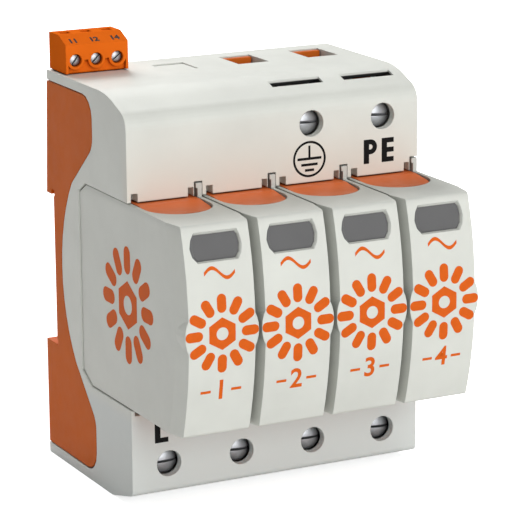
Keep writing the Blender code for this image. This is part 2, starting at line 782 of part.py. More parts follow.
def repeat(source, name, places):
    """Sets the source at the first place and a copy of its own at each other one."""
    for index, (x, y, z) in enumerate(places, 1):
        made = source if index == 1 else source.copy()
        if index > 1:
            bpy.context.scene.collection.objects.link(made)
        made.name = f"{name}_{index}"
        made.location = (x, y, z)


def tines(x, z):
    """Two clip plates beside a blade, as boxes."""
    near = BLADE_THICK / 2 + GAP
    height = (z - BLADE_HEIGHT / 2, z + BLADE_HEIGHT / 2)
    plates = []
    for side in (-1, 1):
        span = sorted((x + side * near, x + side * (near + TINE_THICK)))
        plates.append(box("tine", span, (TINE_REACH, STRIP_FRONT + STRIP_THICK / 2), height))
    return plates


def contact_profile(bend, bar_end, strip_end):
    """The bent strip from the side: a clamp bar, a run to the back and a riser, for bend up or down."""
    bar_back = CLAMP_BAR_FRONT + STRIP_THICK
    near = bend
    far = bend + math.copysign(STRIP_THICK, bend)
    return [
        (CLAMP_BAR_FRONT, bar_end),
        (bar_back, bar_end),
        (bar_back, far),
        (STRIP_BACK, far),
        (STRIP_BACK, strip_end),
        (STRIP_FRONT, strip_end),
        (STRIP_FRONT, near),
        (CLAMP_BAR_FRONT, near),
    ]


def make_contact():
    bend = BAY_BOTTOM - WALL - 2 * GAP
    bar_end = SCREW_LOWER_Z - CAGE_HALF_HEIGHT - GAP
    strip_end = -BLADE_Z + BLADE_HEIGHT / 2
    outline = contact_profile(bend, bar_end, strip_end)
    contact = prism("lower_contact", outline, -STRIP_WIDTH / 2, STRIP_WIDTH / 2, "X", COPPER)
    join(contact, *tines(0.0, -BLADE_Z))
    return bake(contact)


def make_busbar():
    low = BLADE_Z - BLADE_HEIGHT / 2
    high = BLADE_Z + BLADE_HEIGHT / 2
    ends = (pole_x(0) - STRIP_WIDTH / 2, pole_x(POLES - 1) + STRIP_WIDTH / 2)
    busbar = box("earth_busbar", ends, (STRIP_FRONT, STRIP_BACK), (low, high), COPPER)
    bend = BAY_TOP + WALL + 2 * GAP
    bar_end = SCREW_UPPER_Z + CAGE_HALF_HEIGHT + GAP
    for pole in range(POLES):
        join(busbar, *tines(pole_x(pole), BLADE_Z))
        if pole < POLES // 2:
            continue
        outline = contact_profile(bend, bar_end, high - STRIP_THICK)
        sides = (pole_x(pole) - STRIP_WIDTH / 2 + GAP, pole_x(pole) + STRIP_WIDTH / 2 - GAP)
        join(busbar, prism("riser", outline, sides[0], sides[1], "X"))
    return bake(busbar)


def make_terminal_screw():
    """A cheese-head screw along Y, turned about its own axis."""
    head = FRONT + SCREW_RECESS
    profile = [
        (head, SCREW_HEAD_RADIUS * 0.35),
        (head + SCREW_DOME * 0.35, SCREW_HEAD_RADIUS * 0.75),
        (head + SCREW_DOME, SCREW_HEAD_RADIUS),
        (head + SCREW_HEAD_LENGTH, SCREW_HEAD_RADIUS),
        (head + SCREW_HEAD_LENGTH, SCREW_SHANK_RADIUS),
        (CLAMP_BAR_FRONT - 3 * GAP, SCREW_SHANK_RADIUS),
        (CLAMP_BAR_FRONT - GAP, SCREW_SHANK_RADIUS - 2 * GAP),
    ]
    screw = turned("terminal_screw", profile, 24, STEEL)
    wide = (-2 * SCREW_HEAD_RADIUS, 2 * SCREW_HEAD_RADIUS)
    slot = (-SCREW_SLOT / 2, SCREW_SLOT / 2)
    cut(screw, box("screw_slot", wide, (head - WALL, head + SCREW_SLOT_DEPTH), slot))
    return bake(screw)


def make_cage():
    """A square cage round the clamp bar, open above and below, with the nut in its front wall."""
    height = (-CAGE_HALF_HEIGHT, CAGE_HALF_HEIGHT)
    cage = box("terminal_cage", (-CAGE_HALF, CAGE_HALF), (CAGE_FRONT, CAGE_BACK), height, STEEL)
    space = CAGE_HALF - CAGE_WALL
    depth = (CAGE_FRONT + CAGE_NUT, CAGE_BACK - CAGE_WALL)
    cut(cage, box("cage_space", (-space, space), depth, (-2 * CAGE_HALF_HEIGHT, 2 * CAGE_HALF_HEIGHT)))
    nut = (CAGE_FRONT - CAGE_NUT, CAGE_FRONT + 2 * CAGE_NUT)
    cut(cage, rod("nut_hole", (0.0, 0.0), SCREW_SHANK_RADIUS + GAP, nut[0], nut[1], "Y", 24))
    return bake(cage)


# Modules, each built about its own middle at x = 0


def layered(name, layers, finish):
    """A solid through side outlines with as many points each, as (x, outline) from left to right."""
    mesh = bpy.data.meshes.new(name)
    shape = bmesh.new()
    rings = [[shape.verts.new((x, y, z)) for y, z in outline] for x, outline in layers]
    for near, far in zip(rings, rings[1:]):
        for index in range(len(near)):
            after = (index + 1) % len(near)
            shape.faces.new((near[index], near[after], far[after], far[index]))
    shape.faces.new(rings[0])
    shape.faces.new(rings[-1])
    bmesh.ops.recalc_face_normals(shape, faces=shape.faces)
    shape.to_mesh(mesh)
    shape.free()
    made = bpy.data.objects.new(name, mesh)
    bpy.context.scene.collection.objects.link(made)
    mesh.materials.append(finish)
    return made


def make_shell():
    side = module_outline(TAPER_LENGTH)
    front = module_outline()
    inset = MODULE_HALF - TAPER_INSET
    layers = [(-MODULE_HALF, side), (-inset, front), (inset, front), (MODULE_HALF, side)]
    shell = layered("shell", layers, LIGHT_GREY)
    boss = rod("boss", (0.0, BOSS_Z), BOSS_RADIUS, 2 * MODULE_CROWN, BOSS_BACK, "Y", 40)
    combine(boss, prism("bow", front, -MODULE_HALF, MODULE_HALF, "X"), "INTERSECT")
    join(shell, bake(boss))
    left = TAB_X - TAB_WIDTH / 2
    run = (FRONT - TAB_PROUD, FRONT - TAB_PROUD + TAB_LENGTH)
    join(shell, box("guide_tab", (left, left + TAB_WIDTH), run, (MODULE_TOP - WALL, MODULE_TOP + TAB_HEIGHT)))
    cut(shell, prism("cavity", module_cavity(), -CAVITY_HALF, CAVITY_HALF, "X"))
    cut(shell, prism("top_slot", pad_plan(GAP), MODULE_TOP - PAD_THICK - GAP, MODULE_TOP + WALL, "Z"))
    cut(shell, prism("low_slot", pad_plan(GAP), MODULE_BOTTOM - WALL, MODULE_BOTTOM + PAD_THICK + GAP, "Z"))
    cut(shell, prism("window_hole", window_outline(), 2 * MODULE_CROWN, flag_front() - GAP, "Y"))
    return bake(shell)


def make_carrier():
    carrier = prism("carrier", module_outline(), -PAD_HALF_WIDTH, PAD_HALF_WIDTH, "X", ORANGE)
    combine(carrier, prism("pad_shape", pad_plan(), 2 * MODULE_BOTTOM, 2 * MODULE_TOP, "Z"), "INTERSECT")
    high = MODULE_TOP - PAD_THICK
    low = MODULE_BOTTOM + PAD_THICK
    plate = MODULE_BACK - CARRIER_PLATE
    cut(carrier, box("block_room", (-FAR, FAR), (2 * MODULE_CROWN, plate), (low, high)))
    for side in (-1, 1):
        beside = sorted((side * (CAVITY_HALF - GAP), side * FAR))
        cut(carrier, box("plate_side", beside, (2 * MODULE_CROWN, FAR), (low - GAP, high + GAP)))
    for z in (BLADE_Z, -BLADE_Z):
        slot = BLADE_THICK / 2 + GAP
        height = (z - BLADE_HEIGHT / 2 - GAP, z + BLADE_HEIGHT / 2 + GAP)
        cut(carrier, box("blade_slot", (-slot, slot), (plate - WALL, MODULE_BACK + WALL), height))
    sweep = math.acos(1 - DISH_DEPTH / DISH_RADIUS)
    reach = DISH_RADIUS - DISH_DEPTH
    top = arc_points((DISH_Y, MODULE_TOP + reach), DISH_RADIUS, -math.pi / 2 - sweep, -math.pi / 2 + sweep, 8)
    low_arc = [(y, MODULE_TOP + MODULE_BOTTOM - z) for y, z in top]
    lid = MODULE_TOP + DISH_DEPTH
    for name, arc, cap in (("top_dish", top, lid), ("low_dish", low_arc, MODULE_TOP + MODULE_BOTTOM - lid)):
        outline = arc + [(arc[-1][0], cap), (arc[0][0], cap)]
        cut(carrier, prism(name, outline, -FAR, FAR, "X"))
    return bake(carrier)


def make_window():
    low = WINDOW_BOTTOM - WALL
    high = WINDOW_TOP + WALL
    front = front_arc(low, high, PANE_RECESS, 8)
    back = front_arc(low, high, PANE_RECESS + PANE_THICK, 8)
    pane = prism("window", front + list(reversed(back)), -MODULE_HALF, MODULE_HALF, "X", DARK_GREY)
    outline = prism("pane_shape", window_outline(-GAP), 2 * MODULE_CROWN, FAR, "Y")
    combine(pane, outline, "INTERSECT")
    return bake(pane)


def make_block():
    front = flag_front() + FLAG_THICK + 2 * GAP
    back = MODULE_BACK - CARRIER_PLATE - BLOCK_BACK_ROOM
    low = MODULE_BOTTOM + PAD_THICK + GAP
    high = MODULE_TOP - PAD_THICK - GAP
    corners = [
        (front, low, BLOCK_ROUND),
        (back, low, BLOCK_ROUND),
        (back, high, BLOCK_ROUND),
        (front, high, BLOCK_ROUND),
    ]
    return prism("block", rounded(corners), -BLOCK_HALF_WIDTH, BLOCK_HALF_WIDTH, "X", BLOCK_BLUE)


def make_flag():
    front = flag_front()
    top = WINDOW_BOTTOM - GAP
    depth = (front, front + FLAG_THICK)
    width = (-FLAG_HALF_WIDTH, FLAG_HALF_WIDTH)
    return box("flag", width, depth, (top - FLAG_HEIGHT, top), FLAG_RED)


def make_blade():
    """A flat blade with a bevelled tip and a flange that rests behind the carrier's plate."""
    end = MODULE_BACK - CARRIER_PLATE - BLOCK_BACK_ROOM + GAP
    half = BLADE_HEIGHT / 2
    outline = [
        (end, -half),
        (BLADE_TIP - BLADE_BEVEL, -half),
        (BLADE_TIP, BLADE_BEVEL - half),
        (BLADE_TIP, half - BLADE_BEVEL),
        (BLADE_TIP - BLADE_BEVEL, half),
        (end, half),
    ]
    blade = prism("blade", outline, -BLADE_THICK / 2, BLADE_THICK / 2, "X", COPPER)
    plate = MODULE_BACK - CARRIER_PLATE - GAP
    flange = (-BLADE_FLANGE, BLADE_FLANGE)
    join(blade, box("flange", flange, (plate - BLADE_THICK, plate), (-half + GAP, half - GAP)))
    return bake(blade)


# Remote signalling


def way_x(index):
    return PLUG_X + (index - (PLUG_WAYS - 1) / 2) * PLUG_PITCH + PLUG_SCREW_SHIFT


def way_places(y, z):
    return [(way_x(index), y, z) for index in range(PLUG_WAYS)]


def tail_back():
    """How far back a plug clamp's tails reach, past the header's pins at rest and when drawn up."""
    return (TONGUE_FRONT + TONGUE_BACK) / 2 + PIN_SIZE / 2 + CLAMP_TRAVEL


def make_plug():
    ends = (PLUG_X - PLUG_WIDTH / 2, PLUG_X + PLUG_WIDTH / 2)
    outline = [
        (PLUG_FRONT, PLUG_BASE),
        (PLUG_FRONT, PLUG_BASE + PLUG_FACE_HEIGHT),
        (PLUG_FRONT + PLUG_CHAMFER, PLUG_BASE + PLUG_HEIGHT),
        (PLUG_BACK, PLUG_BASE + PLUG_HEIGHT),
        (PLUG_BACK, PLUG_BASE),
    ]
    plug = prism("signal_plug", outline, ends[0], ends[1], "X", PLUG_ORANGE)
    depth = (PLUG_BASE - TONGUE_DEPTH, PLUG_BASE + WALL)
    join(plug, box("tongue", tongue_sides(), (TONGUE_FRONT, TONGUE_BACK), depth))
    screw_z = TOP + PLUG_SCREW_Z
    well_end = PLUG_FRONT + GAP + PLUG_SCREW_HEAD + GAP
    pin_y = (TONGUE_FRONT + TONGUE_BACK) / 2
    between = (ends[0] + PLUG_CHEEK, ends[1] - PLUG_CHEEK)
    depth = (PLUG_FRONT - WALL, PLUG_FRONT + PLUG_UNDERCUT)
    cut(plug, box("undercut", between, depth, (PLUG_BASE - WALL, screw_z)))
    for x, y, z in way_places(pin_y, screw_z):
        boss = rod("screw_boss", (x, z), PLUG_BOSS_RADIUS, PLUG_FRONT, PLUG_FRONT + 2 * PLUG_UNDERCUT, "Y", 24)
        join(plug, boss)
        well = PLUG_SCREW_RADIUS + GAP / 2
        cut(plug, rod("screw_well", (x, z), well, PLUG_FRONT - WALL, well_end, "Y", 20))
        cut(plug, rod("shank_hole", (x, z), PLUG_SHANK_RADIUS + GAP / 2, PLUG_FRONT, y, "Y", 16))
        room = (x - CLAMP_LEFT - GAP, x + CLAMP_RIGHT + GAP)
        front = CLAMP_FRONT - CLAMP_TRAVEL - GAP
        high = z + CLAMP_HEIGHT / 2 + GAP
        floor = z - CLAMP_HEIGHT / 2 - GAP
        cut(plug, box("clamp_room", room, (front, CLAMP_BACK + GAP), (floor, high)))
        hole = PIN_SIZE / 2 + GAP
        pin_x = x + PIN_SHIFT
        tail_room = (pin_x - hole - TAIL_THICK - GAP, pin_x + hole + TAIL_THICK + GAP)
        cut(plug, box("tail_room", tail_room, (front, tail_back() + GAP), (CLAMP_TAIL - GAP, floor + GAP)))
        under = (PLUG_BASE - 2 * TONGUE_DEPTH, CLAMP_TAIL + GAP)
        cut(plug, box("pin_hole", (pin_x - hole, pin_x + hole), (y - hole, y + hole), under))
        wire = PLUG_WIRE_WIDTH / 2
        entry = (CLAMP_BACK - CLAMP_WALL - PLUG_WIRE_WIDTH, CLAMP_BACK - CLAMP_WALL)
        cut(plug, box("wire_hole", (x - wire, x + wire), entry, (high - GAP, PLUG_BASE + 2 * PLUG_HEIGHT)))
    return bake(plug)


def make_plug_screw():
    head = PLUG_FRONT + GAP
    neck = head + PLUG_SCREW_HEAD
    profile = [
        (head, PLUG_SCREW_RADIUS),
        (neck, PLUG_SCREW_RADIUS),
        (neck, PLUG_SHANK_RADIUS),
        (PLUG_SHANK_TIP, PLUG_SHANK_RADIUS),
    ]
    screw = turned("plug_screw", profile, 16, STEEL)
    wide = (-2 * PLUG_SCREW_RADIUS, 2 * PLUG_SCREW_RADIUS)
    slot = (-SCREW_SLOT / 3, SCREW_SLOT / 3)
    cut(screw, box("screw_slot", wide, (head - WALL, head + PLUG_SCREW_HEAD / 2), slot))
    return bake(screw)


def make_plug_clamp():
    """A clamp body for the wire, with two tails that straddle the header's pin, about the screw's axis."""
    height = (-CLAMP_HEIGHT / 2, CLAMP_HEIGHT / 2)
    clamp = box("plug_clamp", (-CLAMP_LEFT, CLAMP_RIGHT), (CLAMP_FRONT, CLAMP_BACK), height, COPPER)
    tail_low = CLAMP_TAIL - TOP - PLUG_SCREW_Z
    near = PIN_SIZE / 2 + GAP
    for side in (-1, 1):
        span = sorted((PIN_SHIFT + side * near, PIN_SHIFT + side * (near + TAIL_THICK)))
        join(clamp, box("tail", span, (CLAMP_FRONT, tail_back()), (tail_low, GAP - CLAMP_HEIGHT / 2)))
    wire = (CLAMP_BACK - CLAMP_WALL - PLUG_WIRE_WIDTH, CLAMP_BACK - CLAMP_WALL)
    space = (CLAMP_WALL - CLAMP_LEFT, CLAMP_RIGHT - CLAMP_WALL)
    cut(clamp, box("wire_space", space, wire, (-CLAMP_HEIGHT, CLAMP_HEIGHT)))
    hole = PLUG_SHANK_RADIUS + GAP / 2
    end = PLUG_SHANK_TIP + CLAMP_TRAVEL + GAP
    cut(clamp, rod("shank_hole", (0.0, 0.0), hole, CLAMP_FRONT - WALL, end, "Y", 16))
    return bake(clamp)


def board_sides():
    """Left edge of the board and the middle of its leg, which lies between the first two poles."""
    return -INNER + GAP, (pole_x(0) + pole_x(1)) / 2


def make_board():
    left, middle = board_sides()
    top = PLUG_BASE - TONGUE_DEPTH - GAP - HEADER_HEIGHT / 2
    low = BAY_TOP + WALL + GAP
    leg = (middle - BOARD_LEG_HALF, middle + BOARD_LEG_HALF)
    depth = (BOARD_FRONT, BOARD_FRONT + BOARD_THICK)
    board = box("signal_board", (left, -PARTITION / 2 - GAP), depth, (low, top), BOARD_GREEN)
    join(board, box("board_leg", leg, depth, (SWITCH_BOTTOM - WALL / 2, low + WALL)))
    return bake(board)


def make_header():
    top = PLUG_BASE - TONGUE_DEPTH - GAP
    depth = (BOARD_FRONT + BOARD_THICK + GAP, TONGUE_BACK)
    header = box("signal_header", tongue_sides(), depth, (top - HEADER_HEIGHT, top), BLACK)
    half = PIN_SIZE / 2
    for x, y, z in way_places((TONGUE_FRONT + TONGUE_BACK) / 2, top):
        width = (x + PIN_SHIFT - half, x + PIN_SHIFT + half)
        join(header, box("pin", width, (y - half, y + half), (z - GAP, PIN_TOP)))
    return bake(header)


def make_switch():
    middle = board_sides()[1]
    back = BOARD_FRONT - GAP
    width = (middle - SWITCH_HALF_LENGTH, middle + SWITCH_HALF_LENGTH)
    height = (SWITCH_BOTTOM, SWITCH_BOTTOM + SWITCH_HEIGHT)
    switch = box("signal_switch", width, (back - SWITCH_DEPTH, back), height, BLACK)
    button = (middle - FINGER_HALF, middle + FINGER_HALF)
    depth = (back - SWITCH_DEPTH + PLUNGER, back - SWITCH_DEPTH / 2)
    join(switch, box("plunger", button, depth, (SWITCH_BOTTOM - PLUNGER, SWITCH_BOTTOM + PLUNGER)))
    return bake(switch)


def finger_outline(reach, top, thick):
    """An arm from the rocker's bar, up and then forward, seen from the side about the bar's axis."""
    half = ROCKER_RADIUS * 0.7
    return [
        (-half, 0.0),
        (half, 0.0),
        (half, top),
        (reach, top),
        (reach, top - thick),
        (-half, top - thick),
    ]


def make_rocker():
    """A bar along X about its own axis, with a finger behind each module and a paddle under the switch."""
    ends = INNER - GAP
    rocker = rod("signal_rocker", (0.0, 0.0), ROCKER_RADIUS, -ends, ends, "X", 16, BLACK)
    tip = ends + JOURNAL_REACH
    join(rocker, rod("journal", (0.0, 0.0), JOURNAL_RADIUS, -tip, tip, "X", 12))
    top = FINGER_TOP - ROCKER_Z
    reach = MODULE_BACK + GAP - ROCKER_Y
    for pole in range(POLES):
        span = (pole_x(pole) - FINGER_HALF, pole_x(pole) + FINGER_HALF)
        join(rocker, prism("finger", finger_outline(reach, top, 2 * FINGER_HALF), span[0], span[1], "X"))
    middle = board_sides()[1]
    paddle_top = SWITCH_BOTTOM - PLUNGER - GAP - ROCKER_Z
    paddle_reach = BOARD_FRONT - GAP - SWITCH_DEPTH + PLUNGER - ROCKER_Y
    outline = finger_outline(paddle_reach, paddle_top, FINGER_HALF)
    join(rocker, prism("paddle", outline, middle - FINGER_HALF, middle + FINGER_HALF, "X"))
    place(bake(rocker), 0.0, ROCKER_Y, ROCKER_Z)
    return rocker


# The whole device

bake(make_housing())
bake(make_foot())
bake(make_latch())
make_spring()

upper_poles = range(POLES // 2, POLES)
terminals = [(pole_x(pole), 0.0, SCREW_UPPER_Z) for pole in upper_poles]
terminals += [(pole_x(pole), 0.0, SCREW_LOWER_Z) for pole in range(POLES)]
repeat(make_terminal_screw(), "terminal_screw", terminals)
repeat(make_cage(), "terminal_cage", terminals)
poles = [(pole_x(pole), 0.0, 0.0) for pole in range(POLES)]
repeat(make_contact(), "lower_contact", poles)
make_busbar()

for part_name, maker in (
    ("shell", make_shell),
    ("carrier", make_carrier),
    ("window", make_window),
    ("block", make_block),
    ("flag", make_flag),
):
    repeat(maker(), part_name, poles)
repeat(make_blade(), "upper_blade", [(x, y, BLADE_Z) for x, y, z in poles])
repeat(make_blade(), "lower_blade", [(x, y, -BLADE_Z) for x, y, z in poles])

make_board()
make_header()
make_switch()
make_rocker()
make_plug()
screw_places = way_places(0.0, TOP + PLUG_SCREW_Z)
repeat(make_plug_screw(), "plug_screw", screw_places)
repeat(make_plug_clamp(), "plug_clamp", screw_places)
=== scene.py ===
"""Looks of the DIN rail surge arrester: materials, printed marks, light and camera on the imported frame."""

import math

import bmesh
import bpy
from mathutils import Matrix, Vector
from mathutils.bvhtree import BVHTree


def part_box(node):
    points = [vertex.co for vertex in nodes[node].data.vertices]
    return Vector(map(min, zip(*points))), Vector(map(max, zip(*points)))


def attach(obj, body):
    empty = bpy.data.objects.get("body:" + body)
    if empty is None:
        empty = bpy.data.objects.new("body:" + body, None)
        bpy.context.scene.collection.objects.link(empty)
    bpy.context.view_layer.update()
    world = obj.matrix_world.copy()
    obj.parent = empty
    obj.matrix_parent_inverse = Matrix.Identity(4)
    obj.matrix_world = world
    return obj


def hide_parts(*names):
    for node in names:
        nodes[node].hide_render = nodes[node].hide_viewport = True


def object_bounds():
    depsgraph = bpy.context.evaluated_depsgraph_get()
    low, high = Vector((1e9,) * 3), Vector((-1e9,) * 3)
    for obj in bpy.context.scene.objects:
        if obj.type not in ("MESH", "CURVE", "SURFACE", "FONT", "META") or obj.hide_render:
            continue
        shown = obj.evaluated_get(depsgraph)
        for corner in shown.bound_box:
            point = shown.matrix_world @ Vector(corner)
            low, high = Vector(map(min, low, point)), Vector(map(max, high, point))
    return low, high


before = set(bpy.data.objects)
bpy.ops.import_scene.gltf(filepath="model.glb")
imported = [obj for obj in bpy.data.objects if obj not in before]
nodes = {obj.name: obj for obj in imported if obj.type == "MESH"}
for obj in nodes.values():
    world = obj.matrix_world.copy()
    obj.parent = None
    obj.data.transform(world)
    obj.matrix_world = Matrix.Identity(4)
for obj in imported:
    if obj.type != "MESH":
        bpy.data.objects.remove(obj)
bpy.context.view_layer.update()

MODULES = range(1, 5)

# Camera, from the fit to the photo
CAMERA_AZIMUTH = 26.76
CAMERA_ELEVATION = 14.01
CAMERA_ROLL = -0.48
CAMERA_DISTANCE = 0.6299
CAMERA_TARGET = Vector((0.0009, -0.030, 0.0051))
CAMERA_LENS = 194.8

# Colours
GREY = (0.72, 0.735, 0.68)
GREY_BASE_TONE = (0.74, 0.755, 0.70)
# Painted light: a warmer grey for the base front near the orange pads, standing in for the orange light that
# they bounce
GREY_PAINTED_BOUNCE = (0.755, 0.735, 0.66)
# Painted light: a cooler grey for the lower front, offsetting the orange light bounced onto it
GREY_BOUNCE_OFFSET = (0.69, 0.725, 0.70)
ORANGE = (0.65, 0.136, 0.015)
ORANGE_PAD = (0.84, 0.180, 0.040)
ORANGE_BRIGHT = (0.78, 0.146, 0.011)
INK_ORANGE = (0.70, 0.115, 0.006)
INK_BLACK = (0.004, 0.004, 0.004)
WINDOW_GREY = (0.146, 0.146, 0.147)
FLAG_RED = (0.50, 0.02, 0.015)
STEEL = (0.56, 0.575, 0.60)
TIN = (0.66, 0.60, 0.50)
BLUE = (0.03, 0.07, 0.25)
BLACK = (0.02, 0.02, 0.022)
BOARD = (0.02, 0.16, 0.06)

# Where the greys change, each as the two ends of a soft step along one axis
# Painted light: the band on the base front near the pads where the painted orange bounce lies
BOUNCE_BELOW = (0.041, 0.024)
BOUNCE_ABOVE = (0.010, 0.020)
BOUNCE_FRONT = (-0.037, -0.0408)
# Painted light: below this the lower front turns cooler, offsetting the orange bounce
BOUNCE_OFFSET_BELOW = (-0.0225, -0.0265)
# Painted shade: above this the module tops darken, where the block behind them shades them
SHADED_TOP_ABOVE = (0.0215, 0.0245)
# The sides within which the painted shade of the gaps lies
LEFT_WITHIN = (-0.0358, -0.0352)
RIGHT_WITHIN = (0.0358, 0.0352)

# Painted shade inside the slits over the upper terminals: behind their mouth, and in the pocket that they end
# in
SLITS_LEFT = (0.0, 0.001)
SLITS_RIGHT = (0.0355, 0.0350)
MOUTH_FRONT = (-0.0349, -0.0347)
MOUTH_BACK = (-0.0307, -0.0310)
MOUTH_ABOVE = (0.0375, 0.0380)
MOUTH_SLOPE = (0.0, -0.323, 1.0)
MOUTH_UNDER = (0.05548, 0.05568)
POCKET_FRONT = (-0.0333, -0.0330)
POCKET_BACK = (-0.0240, -0.0243)
POCKET_ABOVE = (0.0400, 0.0403)
POCKET_UNDER = (0.0450, 0.0447)
SLIT_SHADE = 0.03


# Materials


class Maker:
    """Adds nodes to one material and joins them up."""

    def __init__(self, name):
        self.material = bpy.data.materials.new(name)
        self.material.use_nodes = True
        self.tree = self.material.node_tree
        self.shader = self.tree.nodes["Principled BSDF"]
        self.place = self.tree.nodes.new("ShaderNodeTexCoord").outputs["Object"]

    def node(self, kind, **values):
        made = self.tree.nodes.new(kind)
        for name, value in values.items():
            setattr(made, name, value)
        return made

    def link(self, output, target):
        self.tree.links.new(output, target)

    def noise(self, scale, detail=2.0, roughness=0.5, stretch=None):
        made = self.node("ShaderNodeTexNoise")
        made.inputs["Scale"].default_value = scale
        made.inputs["Detail"].default_value = detail
        made.inputs["Roughness"].default_value = roughness
        if stretch:
            mapping = self.node("ShaderNodeMapping")
            mapping.inputs["Scale"].default_value = stretch
            self.link(self.place, mapping.inputs["Vector"])
            self.link(mapping.outputs["Vector"], made.inputs["Vector"])
        else:
            self.link(self.place, made.inputs["Vector"])
        return made.outputs["Fac"]

    def spread(self, value, low, high, start=0.3, end=0.7):
        made = self.node("ShaderNodeMapRange")
        made.inputs["From Min"].default_value = start
        made.inputs["From Max"].default_value = end
        made.inputs["To Min"].default_value = low
        made.inputs["To Max"].default_value = high
        self.link(value, made.inputs["Value"])
        return made.outputs["Result"]

    def tint(self, value, colour, other):
        """A colour between two, each given as numbers or as the output of another node."""
        made = self.node("ShaderNodeMix", data_type="RGBA")
        sockets = [socket for socket in made.inputs if socket.type == "RGBA"]
        for socket, given in zip(sockets, (colour, other)):
            if isinstance(given, tuple):
                socket.default_value = (*given, 1.0)
            else:
                self.link(given, socket)
        self.link(value, made.inputs["Factor"])
        return [socket for socket in made.outputs if socket.type == "RGBA"][0]

    def times(self, first, second):
        made = self.node("ShaderNodeMath", operation="MULTIPLY")
        self.link(first, made.inputs[0])
        self.link(second, made.inputs[1])
        return made.outputs["Value"]

    def along(self, axis, start, end):
        """0 to 1 between two places on an axis of the object."""
        apart = self.node("ShaderNodeSeparateXYZ")
        self.link(self.place, apart.inputs["Vector"])
        made = self.node("ShaderNodeMapRange", interpolation_type="SMOOTHSTEP")
        made.inputs["From Min"].default_value = min(start, end)
        made.inputs["From Max"].default_value = max(start, end)
        made.inputs["To Min"].default_value = 0.0 if start < end else 1.0
        made.inputs["To Max"].default_value = 1.0 if start < end else 0.0
        self.link(apart.outputs[axis], made.inputs["Value"])
        return made.outputs["Result"]

    def nook(self, reach, start=0.1, end=0.75):
        """Where painted shade goes: 1 in tight gaps and under edges, 0 on open faces."""
        made = self.node("ShaderNodeAmbientOcclusion", samples=6)
        made.inputs["Distance"].default_value = reach
        return self.spread(made.outputs["AO"], 1.0, 0.0, start, end)

    def relief(self, heights, edge):
        """Bumps of (value, depth in metres) one over another, on edges that look rounded by edge."""
        normal = None
        if edge:
            round_edge = self.node("ShaderNodeBevel", samples=6)
            round_edge.inputs["Radius"].default_value = edge
            normal = round_edge.outputs["Normal"]
        for value, depth in heights:
            bump = self.node("ShaderNodeBump")
            bump.inputs["Strength"].default_value = 1.0
            bump.inputs["Distance"].default_value = depth
            self.link(value, bump.inputs["Height"])
            if normal:
                self.link(normal, bump.inputs["Normal"])
            normal = bump.outputs["Normal"]
        self.link(normal, self.shader.inputs["Normal"])


def scaled(colour, factor):
    return tuple(min(1.0, channel * factor) for channel in colour)


def blacken_slits(made, tone, black):
    """The tone, with that black painted in as shade inside the slits over the upper terminals."""
    beside = made.times(made.along("X", *SLITS_LEFT), made.along("X", *SLITS_RIGHT))
    slope = made.node("ShaderNodeVectorMath", operation="DOT_PRODUCT")
    slope.inputs[1].default_value = MOUTH_SLOPE
    made.link(made.place, slope.inputs[0])
    mouth_under = made.spread(slope.outputs["Value"], 1.0, 0.0, *MOUTH_UNDER)
    mouth_depth = made.times(made.along("Y", *MOUTH_FRONT), made.along("Y", *MOUTH_BACK))
    mouth_level = made.times(mouth_under, made.along("Z", *MOUTH_ABOVE))
    tone = made.tint(made.times(made.times(mouth_depth, mouth_level), beside), tone, black)
    pocket_depth = made.times(made.along("Y", *POCKET_FRONT), made.along("Y", *POCKET_BACK))
    pocket_level = made.times(made.along("Z", *POCKET_ABOVE), made.along("Z", *POCKET_UNDER))
    return made.tint(made.times(made.times(pocket_depth, pocket_level), beside), tone, black)


def plastic(
    name,
    colour,
    roughness=0.45,
    mottle=0.04,
    grain=0.000012,
    edge=0.00035,
    specular=0.45,
    painted_bounce=None,
    bounce_offset=None,
    nook=0.0,
    gap_shade_factor=0.3,
    slits=False,
    top=0.0,
):
    """Moulded plastic: a fine spark-eroded grain, faint flow mottling, uneven sheen and painted shade in the
    gaps.
    """
    made = Maker(name)
    flow = made.spread(made.noise(60.0, 3.0, 0.6), 0.0, 1.0)
    tone = made.tint(flow, scaled(colour, 1 - mottle), scaled(colour, 1 + mottle))
    # Painted light: warmer on the front near the orange pads, standing in for the orange light bounced from
    # them
    if painted_bounce:
        band = made.times(made.along("Z", *BOUNCE_BELOW), made.along("Z", *BOUNCE_ABOVE))
        tone = made.tint(made.times(band, made.along("Y", *BOUNCE_FRONT)), tone, painted_bounce)
    # Painted light: cooler below the modules, offsetting the orange light bounced onto the lower front
    if bounce_offset:
        tone = made.tint(made.along("Z", *BOUNCE_OFFSET_BELOW), tone, bounce_offset)
    # Painted shade: darker above that height, standing in for the shade that the block behind casts on the
    # module tops
    if top:
        tone = made.tint(made.along("Z", *SHADED_TOP_ABOVE), tone, scaled(colour, top))
    # Painted shade: darker in gaps and under edges, within the sides only
    if nook:
        within = made.times(made.along("X", *RIGHT_WITHIN), made.along("X", *LEFT_WITHIN))
        tone = made.tint(made.times(made.nook(nook), within), tone, scaled(colour, gap_shade_factor))
    # Painted shade: almost black inside the slits over the upper terminals
    if slits:
        tone = blacken_slits(made, tone, scaled(colour, SLIT_SHADE))
    made.link(tone, made.shader.inputs["Base Color"])
    sheen = made.noise(350.0, 3.0, 0.6)
    made.link(made.spread(sheen, roughness - 0.05, roughness + 0.06), made.shader.inputs["Roughness"])
    made.shader.inputs["Specular IOR Level"].default_value = specular
    made.relief([(made.noise(2600.0, 2.0, 0.6), grain), (made.noise(140.0, 1.0), 0.00001)], edge)
    return made.material


